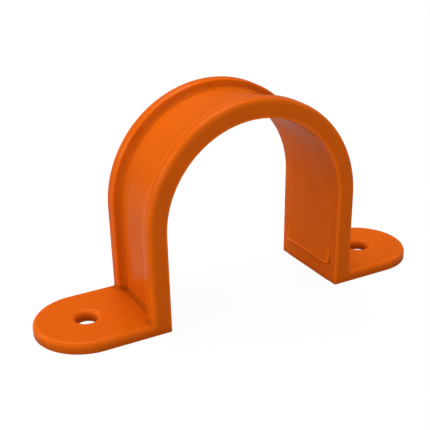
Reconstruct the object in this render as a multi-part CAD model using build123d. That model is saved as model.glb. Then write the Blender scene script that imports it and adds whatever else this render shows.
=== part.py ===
from build123d import *
import os
from math import cos, radians, sin, tan

# Full saddle for rigid electrical conduit of 50 mm outside diameter, moulded in one piece.
# An arch over the conduit runs down into two legs, which stand on flat lugs with a screw hole
# each. The outside of the arch and legs is a shallow channel between two ribs. The inside has
# a low pad that the conduit bears on, and a retaining lip near the foot of each leg.
# Frame: origin on the mounting surface under the middle of the saddle, X along the lugs,
# Y along the conduit, Z up, away from the mounting surface. Millimetres.

# The arch and the legs
SEAT_RADIUS = 24.95         # of the pad, a light grip on conduit of 25 mm radius
AXIS_HEIGHT = 26.0          # conduit axis above the mounting surface
BAND_WIDTH = 26.4           # along the conduit, the same on the arch, the legs and the lugs
WEB_THICKNESS = 3.0         # wall from the pad to the floor of the channel
RIB_HEIGHT = 2.2            # how far the ribs stand out of the channel
RIB_WIDTH = 3.9             # along the conduit
LEG_LEAN = 0.65             # degrees that each leg leans inwards below the arch

# The pad on the inside
PAD_WIDTH = 19.5            # along the conduit
PAD_HEIGHT = 0.12           # above the strips that back the ribs
PAD_BEVEL = 0.5             # width of the slope from the pad down to each strip

# The retaining lips
LIP_WIDTH = 20.1            # along the conduit
LIP_HEIGHT = 5.4            # crest of the lip above the mounting surface
LIP_RAMP = 4.4              # height of the ramp above the crest
LIP_DEPTH = 1.0             # how far the crest stands out of the pad
LIP_UNDERCUT = 0.5          # height of the steep face below the crest

# The lugs
OVERALL_LENGTH = 112.0      # over both lugs
LUG_THICKNESS = 2.8
HOLE_PITCH = 85.0           # between the two screw holes
HOLE_RADIUS = 2.7           # for a 5 mm screw

# Edges
OUTLINE_ROUND = 1.2         # outer edge of both side faces, over the arch and round the lugs
HOLE_MOUTH_ROUND = 1.6      # a wide soft mouth, more than half the thickness of the lug deep
ROOT_FILLET = 0.3           # where the legs stand on the lugs
LIP_ROUND = 0.4
CHANNEL_CHAMFER = 0.6       # between the ribs and the floor of the channel
RIB_CHAMFER = 0.4           # inner edge of the ribs
SEAT_CHAMFER = 0.35         # inner edge of both side faces

NEAR = 0.001                # for picking out an edge or corner by its place
half_width = BAND_WIDTH / 2
strip_radius = SEAT_RADIUS + PAD_HEIGHT
channel_radius = SEAT_RADIUS + WEB_THICKNESS
rib_radius = channel_radius + RIB_HEIGHT
lean = radians(LEG_LEAN)
conduit_axis = Axis((0, 0, AXIS_HEIGHT), (0, -1, 0))


def band_section():
    """Section through the band, at the top of the right leg, with the conduit to its left."""
    rib_foot = half_width - RIB_WIDTH
    pad_edge = PAD_WIDTH / 2
    upper_half = [
        (SEAT_RADIUS, pad_edge),
        (strip_radius, pad_edge + PAD_BEVEL),
        (strip_radius, half_width),
        (rib_radius, half_width),
        (rib_radius, rib_foot),
        (channel_radius, rib_foot),
    ]
    lower_half = [(radius, -y) for radius, y in reversed(upper_half)]
    with BuildSketch() as sketch:
        with BuildLine():
            Polyline(*upper_half, *lower_half, close=True)
        make_face()

        def corners(radius, y):
            """The two corners at this radius and this far from the middle of the band."""
            return [
                v for v in sketch.vertices()
                if abs(v.X - radius) < NEAR and abs(abs(v.Y) - y) < NEAR
            ]

        chamfer(corners(rib_radius, rib_foot), RIB_CHAMFER)
        chamfer(corners(channel_radius, rib_foot), CHANNEL_CHAMFER)
        chamfer(corners(strip_radius, half_width), SEAT_CHAMFER)
    leg_top = Plane(
        origin=(0, 0, AXIS_HEIGHT),
        x_dir=(cos(lean), 0, -sin(lean)),
        z_dir=(-sin(lean), 0, -cos(lean)),
    )
    return leg_top * sketch.sketch.face()


def band():
    """The section turned over the conduit, then run straight down to the mounting surface."""
    section = band_section()
    arch = revolve(section, conduit_axis, revolution_arc=180 + 2 * LEG_LEAN)
    leg = extrude(section, amount=AXIS_HEIGHT / cos(lean))
    wall = Pos(0, 0, -AXIS_HEIGHT / 2) * Box(OVERALL_LENGTH, 2 * BAND_WIDTH, AXIS_HEIGHT)
    leg -= wall
    return arch + leg + mirror(leg, about=Plane.YZ)


def lugs():
    """Flat lugs with full round ends, from the middle of the wall of each leg outwards."""
    outline = SlotOverall(OVERALL_LENGTH, BAND_WIDTH)
    between_legs = Rectangle(2 * SEAT_RADIUS + WEB_THICKNESS, 2 * BAND_WIDTH)
    return extrude(outline - between_legs, LUG_THICKNESS)


def lip():
    """Retaining lip on the right leg: a long ramp down to a crest, and a steep face below."""
    def face_x(z):
        return SEAT_RADIUS / cos(lean) - (AXIS_HEIGHT - z) * tan(lean)

    ramp_top = LIP_HEIGHT + LIP_RAMP
    lip_foot = LIP_HEIGHT - LIP_UNDERCUT
    buried = SEAT_RADIUS + WEB_THICKNESS / 2
    profile = Polyline(
        (face_x(ramp_top), ramp_top),
        (face_x(LIP_HEIGHT) - LIP_DEPTH, LIP_HEIGHT),
        (face_x(lip_foot), lip_foot),
        (buried, lip_foot),
        (buried, ramp_top),
        close=True,
    )
    ramp = extrude(Plane.XZ * make_face(profile), LIP_WIDTH / 2, both=True)
    ends = [
        e for e in ramp.edges()
        if abs(abs(e.center().Y) - LIP_WIDTH / 2) < NEAR and e.center().X < SEAT_RADIUS
        and abs(e.tangent_at(0).Z) > NEAR
    ]
    ramp = chamfer(ends, LIP_ROUND)
    crest = ramp.edges().sort_by(Axis.X)[0]
    return fillet(crest, LIP_ROUND)


def round_root(body):
    """Fillet where the outside of the legs stands on the lugs."""
    root = [
        e for e in body.edges()
        if abs(e.center().Z - LUG_THICKNESS) < NEAR
        and SEAT_RADIUS < abs(e.center().X) < rib_radius
        and abs(e.center().Y) < half_width - NEAR
    ]
    return fillet(root, ROOT_FILLET)


def round_outline(body):
    """Rounding along the outer edge of both side faces, which runs on round the lugs."""
    top_edges = body.edges().filter_by_position(
        Axis.Z, LUG_THICKNESS - NEAR, LUG_THICKNESS + NEAR
    )
    by_place = top_edges.sort_by(Axis.X)
    return fillet([by_place[0], by_place[-1]], OUTLINE_ROUND)


def screw_hole():
    """What a screw hole takes out of a lug: a short bore under a wide soft mouth."""
    bore = (HOLE_RADIUS, LUG_THICKNESS - HOLE_MOUTH_ROUND)
    sharp_mouth = (HOLE_RADIUS, LUG_THICKNESS)
    mouth = (HOLE_RADIUS + HOLE_MOUTH_ROUND, LUG_THICKNESS)
    below = -LUG_THICKNESS
    above = 2 * LUG_THICKNESS
    profile = [
        Bezier(bore, sharp_mouth, mouth),
        Polyline(mouth, (mouth[0], above), (0, above), (0, below), (HOLE_RADIUS, below), bore),
    ]
    return revolve(Plane.XZ * make_face(profile), Axis.Z)


def saddle():
    """The whole saddle, one moulding."""
    body = round_outline(round_root(band() + lugs()))
    hole = screw_hole()
    for side in (-1, 1):
        body -= Pos(side * HOLE_PITCH / 2, 0, 0) * hole
    right_lip = lip()
    return body + right_lip + mirror(right_lip, about=Plane.YZ)


body = saddle()
os.makedirs("parts", exist_ok=True)
export_step(body, "parts/saddle.step")
print(body.bounding_box(), "valid", body.is_valid, "solids", len(body.solids()))
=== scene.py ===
# %% [markdown]
# A conduit saddle is one small orange moulding: an arch with two ribs, two legs and two lugs.
# This lesson dresses its CAD model for a studio picture. The model comes in as a fixed frame
# that already has every form at its real size, in metres, so nothing here moves or resizes it.
# What is left to make is the camera, the smooth shading, the plastic, the table and the light.

from math import cos, radians, sin

import bpy
from mathutils import Matrix, Vector

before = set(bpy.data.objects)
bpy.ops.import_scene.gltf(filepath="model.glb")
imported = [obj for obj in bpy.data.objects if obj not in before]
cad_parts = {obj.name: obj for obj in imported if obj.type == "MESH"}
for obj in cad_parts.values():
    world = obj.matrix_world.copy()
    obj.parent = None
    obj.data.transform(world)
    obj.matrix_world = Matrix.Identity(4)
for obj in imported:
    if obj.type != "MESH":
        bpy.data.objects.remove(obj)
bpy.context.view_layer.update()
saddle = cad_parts["saddle"]

# %% [markdown]
# The camera stands where the photographer stood. Its place was found by fitting the outline
# of the saddle to the photograph, and it is written as a turn, a height and a distance, the
# way a person would describe it. A lens could also be guessed by eye, but the near lug is
# clearly larger than the far one, and only the right distance gives that.

# %% Place the camera
MM = 0.001
VIEW_TURN = radians(-28.14)     # to the left of straight on
VIEW_HEIGHT = radians(22.96)    # above the table
VIEW_ROLL = radians(-1.02)
VIEW_DISTANCE = 223.95 * MM
VIEW_TARGET = Vector((-5.19, 0.0, 22.58)) * MM
LENS_PER_FRAME = 853.5 / 430    # focal length over the width of the frame
NEAREST_SEEN = 10 * MM

camera_data = bpy.data.cameras.new("studio_camera")
camera_data.lens = LENS_PER_FRAME * camera_data.sensor_width
camera_data.clip_start = NEAREST_SEEN
camera = bpy.data.objects.new("studio_camera", camera_data)
bpy.context.scene.collection.objects.link(camera)
bpy.context.scene.camera = camera

look = Vector(
    (-sin(VIEW_TURN) * cos(VIEW_HEIGHT), cos(VIEW_TURN) * cos(VIEW_HEIGHT), -sin(VIEW_HEIGHT))
)
level_right = look.cross(Vector((0, 0, 1))).normalized()
level_up = level_right.cross(look)
right = level_right * cos(VIEW_ROLL) + level_up * sin(VIEW_ROLL)
up = level_up * cos(VIEW_ROLL) - level_right * sin(VIEW_ROLL)
camera.matrix_world = Matrix.Translation(VIEW_TARGET - look * VIEW_DISTANCE) @ Matrix(
    (right, up, -look)
).transposed().to_4x4()
stand = [round(v / MM, 1) for v in camera.matrix_world.translation]
print("camera at", stand, "mm, lens", round(camera_data.lens, 1))

# %% [markdown]
# A material in Blender is a small network of nodes. Written out node by node it is hard to
# read, so a helper class wraps one output of a node and lets Python's own plus, minus and
# times build the Math nodes. Any other node comes from one method that takes the node's
# settings first and then the values or links of its sockets.

# %% Write shader maths as expressions
class Wire:
    """One output of a shader node. Sums and products of wires add Math nodes."""

    def __init__(self, graph, socket):
        self.graph = graph
        self.socket = socket

    def math(self, operation, first, second):
        return self.graph.wire("Math", {"operation": operation}, {0: first, 1: second})

    def __add__(self, other):
        return self.math("ADD", self, other)

    def __sub__(self, other):
        return self.math("SUBTRACT", self, other)

    def __rsub__(self, other):
        return self.math("SUBTRACT", other, self)

    def __mul__(self, other):
        return self.math("MULTIPLY", self, other)

    __radd__ = __add__
    __rmul__ = __mul__


class Graph:
    """The node network of one material or of the world."""

    def __init__(self, owner):
        owner.use_nodes = True
        self.tree = owner.node_tree
        self.tree.nodes.clear()

    def node(self, kind, settings=None, sockets=None):
        made = self.tree.nodes.new("ShaderNode" + kind)
        for name, value in (settings or {}).items():
            setattr(made, name, value)
        for name, value in (sockets or {}).items():
            if isinstance(value, Wire):
                self.tree.links.new(value.socket, made.inputs[name])
            else:
                made.inputs[name].default_value = value
        return made

    def wire(self, kind, settings=None, sockets=None, output=0):
        return Wire(self, self.node(kind, settings, sockets).outputs[output])

    def mix_colors(self, factor, first, second):
        settings = {"data_type": "RGBA"}
        return self.wire("Mix", settings, {"Factor": factor, "A": first, "B": second}, "Result")


def smaller(first, second):
    """The smaller of a wire and a number, or of two wires."""
    return first.math("MINIMUM", first, second)


# %% [markdown]
# The saddle is moulded from one orange plastic, coloured all through. A flat colour would look
# like paint on a screen: the real thing has a slightly cloudy colour where the melt flowed,
# and a skin that is smooth but never a mirror. Noise on the object's own coordinates gives
# both at their real size, and needs no unwrapping. The base colour also carries painted light:
# painted shade darkens the inner corners and the faces close to the table, and a painted
# highlight lightens the convex arrises. Two occlusion nodes find these places, one looking out
# of the surface and one looking into it. Real subsurface scattering could lighten the arrises
# too but is slow and grainy. The painted highlight is left off edges that rest on the table.

# %% Mix the orange plastic
ORANGE = (0.635, 0.106, 0.0033, 1)
ORANGE_CLOUD = (0.535, 0.087, 0.0025, 1)
FLOW_SIZE = 9 * MM
FLOW_DETAIL = 3.0
SKIN_SIZE = 0.9 * MM
GRAIN_SIZE = 0.12 * MM
SKIN_DETAIL = 2.0
PAINTED_SHADE_REACH = 1.7 * MM
PAINTED_SHADE_STRENGTH = 0.8      # painted shade: how much of the colour is darkened where all round is closed in
PAINTED_HIGHLIGHT_REACH = 0.6 * MM
PAINTED_HIGHLIGHT_GAIN = 6.0        # painted highlight: how soon a convex edge counts as one
PAINTED_HIGHLIGHT_STRENGTH = 0.8        # painted highlight: how much the colour is lightened there
CORNER_RAYS = 8
GLOSS_ROUGHNESS = 0.15
FLOW_DULLS = 0.06
GRAIN_DULLS = 0.05
GLOSS_LEVEL = 0.03      # 0.5 is the full gloss of this index, and the photo shows far less
PLASTIC_IOR = 1.5
SKIN_DEPTH = 0.004 * MM
GRAIN_SHARE = 0.35      # the height of the grain beside that of the skin


def noise(graph, size, detail, where):
    """Noise whose lumps are about this size, as a number from 0 to 1."""
    return graph.wire("TexNoise", None, {"Vector": where, "Scale": 1 / size, "Detail": detail}, "Fac")


def orange_plastic():
    material = bpy.data.materials.new("orange_plastic")
    graph = Graph(material)
    where = graph.wire("TexCoord", output="Object")
    flow = noise(graph, FLOW_SIZE, FLOW_DETAIL, where)
    skin = noise(graph, SKIN_SIZE, SKIN_DETAIL, where)
    grain = noise(graph, GRAIN_SIZE, SKIN_DETAIL, where)
    outward = {"samples": CORNER_RAYS}
    inward = {"samples": CORNER_RAYS, "inside": True}
    open_air = graph.wire("AmbientOcclusion", outward, {"Distance": PAINTED_SHADE_REACH}, "AO")
    solid = graph.wire("AmbientOcclusion", inward, {"Distance": PAINTED_HIGHLIGHT_REACH}, "AO")
    height = graph.wire("SeparateXYZ", None, {"Vector": where}, "Z")
    # The painted highlight fades out on edges that rest on the table.
    off_the_table = smaller(height * (1 / PAINTED_HIGHLIGHT_REACH), 1.0)
    # Painted highlight mask: where the inward occlusion finds a thin convex edge.
    painted_highlight_mask = smaller(PAINTED_HIGHLIGHT_GAIN * (1 - solid), 1.0)
    # Painted shade in the hollows and a painted highlight on the arrises, multiplied into the base
    # colour.
    painted_shade_and_highlight = (1 - PAINTED_SHADE_STRENGTH * (1 - open_air)) * (1 + PAINTED_HIGHLIGHT_STRENGTH * painted_highlight_mask * off_the_table)
    melt = graph.mix_colors(flow, ORANGE, ORANGE_CLOUD)
    color = graph.wire("VectorMath", {"operation": "SCALE"}, {"Vector": melt, "Scale": painted_shade_and_highlight})
    roughness = GLOSS_ROUGHNESS + FLOW_DULLS * flow + GRAIN_DULLS * (grain - 0.5)
    normal = graph.wire(
        "Bump", None,
        {"Height": skin + GRAIN_SHARE * grain, "Distance": SKIN_DEPTH, "Strength": 1.0},
    )
    plastic = graph.node(
        "BsdfPrincipled", None,
        {"Base Color": color, "Roughness": roughness, "Normal": normal, "IOR": PLASTIC_IOR,
         "Specular IOR Level": GLOSS_LEVEL},
    )
    graph.node("OutputMaterial", None, {"Surface": Wire(graph, plastic.outputs[0])})
    return material


plastic_material = orange_plastic()
for slot in saddle.material_slots:
    slot.material = plastic_material
print("slots dressed:", len(saddle.material_slots))

# %% [markdown]
# The CAD mesh is made of flat facets, and each of its surfaces is a loose island of them. The
# real part has no facets at all. So the islands are welded, and only true corners stay sharp:
# a steep corner anywhere, and a shallow crease where two different surfaces meet, such as the
# top of the ramp on the lip. Chamfers are left to shade round, like the moulding's soft edges,
# and each normal is weighted by the area around it. Subdivision could smooth the facets too,
# but it would pull the flat faces out of true.

# %% Shade the facets smooth
MERGE_DISTANCE = 0.002 * MM
STEEP_CORNER = radians(50)
SHALLOW_CREASE = (radians(11), radians(30))     # more than between facets, less than a chamfer
ONE_SURFACE = 0.1       # below this spread of their numbers both sides are one surface
LARGE_FACES = 100       # from 1 to 100: the more, the more a large face counts


def smooth_skin_group():
    """Geometry nodes that weld the surfaces and mark the true corners between them as sharp."""
    group = bpy.data.node_groups.new("smooth_skin", "GeometryNodeTree")
    group.interface.new_socket("Geometry", in_out="INPUT", socket_type="NodeSocketGeometry")
    group.interface.new_socket("Geometry", in_out="OUTPUT", socket_type="NodeSocketGeometry")

    def node(kind, settings=None, sockets=None):
        made = group.nodes.new(kind)
        for name, value in (settings or {}).items():
            setattr(made, name, value)
        for name, value in (sockets or {}).items():
            if isinstance(value, bpy.types.NodeSocket):
                group.links.new(value, made.inputs[name])
            else:
                made.inputs[name].default_value = value
        return made.outputs[0] if made.outputs else None

    def math(operation, first, second):
        return node("ShaderNodeMath", {"operation": operation}, {0: first, 1: second})

    start = node("NodeGroupInput")
    plain = node("GeometryNodeRemoveAttribute", None, {"Geometry": start, "Name": "custom_normal"})
    island = node("GeometryNodeInputMeshIsland")
    numbered = node(
        "GeometryNodeStoreNamedAttribute", {"data_type": "FLOAT", "domain": "FACE"},
        {"Geometry": plain, "Name": "surface", "Value": island},
    )
    welded = node(
        "GeometryNodeMergeByDistance", None, {"Geometry": numbered, "Distance": MERGE_DISTANCE}
    )
    smooth = node("GeometryNodeSetShadeSmooth", None, {0: welded})

    # On an edge a face's number is averaged over both sides, so the two averages below
    # cancel only where both sides belong to one surface.
    number = node("GeometryNodeInputNamedAttribute", {"data_type": "FLOAT"}, {"Name": "surface"})
    face_square = node(
        "GeometryNodeFieldOnDomain", {"domain": "FACE"}, {0: math("MULTIPLY", number, number)}
    )
    spread = math("SUBTRACT", face_square, math("MULTIPLY", number, number))
    between_surfaces = math("GREATER_THAN", spread, ONE_SURFACE)
    angle = node("GeometryNodeInputMeshEdgeAngle")
    over = math("GREATER_THAN", angle, SHALLOW_CREASE[0])
    under = math("LESS_THAN", angle, SHALLOW_CREASE[1])
    crease = math("MULTIPLY", between_surfaces, math("MULTIPLY", over, under))
    corner = math("MAXIMUM", crease, math("GREATER_THAN", angle, STEEP_CORNER))
    sharp = node(
        "GeometryNodeSetShadeSmooth", {"domain": "EDGE"},
        {0: smooth, "Selection": corner, "Shade Smooth": False},
    )
    node("NodeGroupOutput", None, {0: sharp})
    return group


skin = saddle.modifiers.new("smooth_skin", "NODES")
skin.node_group = smooth_skin_group()
weighted = saddle.modifiers.new("weighted_normals", "WEIGHTED_NORMAL")
weighted.keep_sharp = True
weighted.weight = LARGE_FACES
evaluated = saddle.evaluated_get(bpy.context.evaluated_depsgraph_get())
print("welded mesh:", len(evaluated.data.vertices), "points of", len(saddle.data.vertices))

# %% [markdown]
# Catalogue pictures stand the part on white. A white table under the part would throw so much
# light back up that the sides of the saddle would lose their shade. So the table is a mid grey
# to the light that falls on it, darker behind on the right as if a card lay there, because the
# inside of the arch mirrors that corner. The Light Path node gives the camera a lighter sheet:
# mostly plain white, with a share of the lit surface that keeps the soft shadow. Far out the
# sheet is all plain white, so that no edge of the table shows against the background.

# %% Lay the table
TABLE_SIZE = 3.0
TABLE_GAP = 0.02 * MM   # keeps the table and the flat underside from sharing one plane
TABLE_GREY = (0.45, 0.45, 0.45, 1)
CARD_GREY = (0.30, 0.30, 0.30, 1)
CARD_EDGE = 40 * MM     # how softly the dark card begins, to the right and behind
TABLE_PALE = (0.95, 0.95, 0.95, 1)
WHITE = (1, 1, 1, 1)
PLAIN_SHARE = 0.93      # of the white that the camera sees and no shadow touches
SHADOW_REACH = 0.6      # this far out the sheet is all plain white, so no horizon shows


def card_share(graph, where, axis):
    """0 on the low side of the saddle's middle along this axis, 1 from the card's edge on."""
    along = graph.wire("SeparateXYZ", None, {"Vector": where}, axis)
    return smaller(along.math("MAXIMUM", along * (1 / CARD_EDGE), 0.0), 1.0)


def table_material():
    material = bpy.data.materials.new("pale_table")
    graph = Graph(material)
    path = graph.node("LightPath")
    where = graph.wire("TexCoord", output="Object")
    away = graph.wire("VectorMath", {"operation": "LENGTH"}, {0: where}, "Value")
    far_off = smaller(away * (1 / SHADOW_REACH), 1.0)
    plain_share = PLAIN_SHARE + (1 - PLAIN_SHARE) * far_off
    card = card_share(graph, where, "X") * card_share(graph, where, "Y")
    mid_grey = graph.wire("BsdfDiffuse", None, {"Color": TABLE_GREY})
    dark_grey = graph.wire("BsdfDiffuse", None, {"Color": CARD_GREY})
    grey = graph.wire("MixShader", None, {0: card, 1: mid_grey, 2: dark_grey})
    pale = graph.wire("BsdfDiffuse", None, {"Color": TABLE_PALE})
    plain = graph.wire("Emission", None, {"Color": WHITE, "Strength": 1.0})
    sheet = graph.wire("MixShader", None, {0: plain_share, 1: pale, 2: plain})
    seen = Wire(graph, path.outputs["Is Camera Ray"])
    surface = graph.wire("MixShader", None, {0: seen, 1: grey, 2: sheet})
    graph.node("OutputMaterial", None, {"Surface": surface})
    return material


half = TABLE_SIZE / 2
table_mesh = bpy.data.meshes.new("table")
table_mesh.from_pydata(
    [(-half, -half, 0), (half, -half, 0), (half, half, 0), (-half, half, 0)], [], [(0, 1, 2, 3)]
)
table = bpy.data.objects.new("table", table_mesh)
table.location.z = -TABLE_GAP
table.data.materials.append(table_material())
bpy.context.scene.collection.objects.link(table)
print("table laid,", TABLE_SIZE, "m across")

# %% [markdown]
# The light is that of a product tent: two broad soft lights overhead, three weaker ones on the
# left, one in front and one on the right, and a pale surround that fills the shadows. Each one
# was first rendered alone, and the powers were fitted so that the sum of those pictures has
# the shades of the real saddle. Small hard lamps would be simpler to place, but would draw hot
# spots on the gloss that the photograph does not have.

# %% Set the soft lights
SURROUND = 0.16
SOFTBOXES = (
    # name, place in metres, size in metres, power in watts
    ("overhead", (0.0, 0.0, 0.80), 0.60, 3.5),
    ("overhead_back", (0.0, 0.45, 0.65), 0.40, 2.6),
    ("left", (-0.78, 0.0, 0.25), 0.50, 1.45),
    ("back_left", (-0.60, 0.45, 0.35), 0.40, 2.3),
    ("low_front_left", (-0.55, -0.60, 0.15), 0.30, 1.85),
    ("front", (0.0, -0.78, 0.35), 0.50, 1.0),
    ("right", (0.70, 0.0, 0.45), 0.50, 1.65),
)


def softbox(name, place, size, power):
    """A square area light that faces the saddle."""
    data = bpy.data.lights.new(name, "AREA")
    data.size = size
    data.energy = power
    lamp = bpy.data.objects.new(name, data)
    bpy.context.scene.collection.objects.link(lamp)
    lamp.location = Vector(place)
    lamp.rotation_euler = (VIEW_TARGET - lamp.location).to_track_quat("-Z", "Y").to_euler()


for name, place, size, power in SOFTBOXES:
    softbox(name + "_softbox", place, size, power)

world = bpy.data.worlds.new("surround")
bpy.context.scene.world = world
graph = Graph(world)
path = graph.node("LightPath")
plain_white = graph.wire("Background", None, {"Color": WHITE, "Strength": 1.0})
soft_fill = graph.wire("Background", None, {"Color": WHITE, "Strength": SURROUND})
seen = Wire(graph, path.outputs["Is Camera Ray"])
both = graph.wire("MixShader", None, {0: seen, 1: soft_fill, 2: plain_white})
graph.node("OutputWorld", None, {"Surface": both})
bpy.context.scene.view_settings.view_transform = "Standard"
print("lights set:", len(SOFTBOXES), "softboxes and the surround")
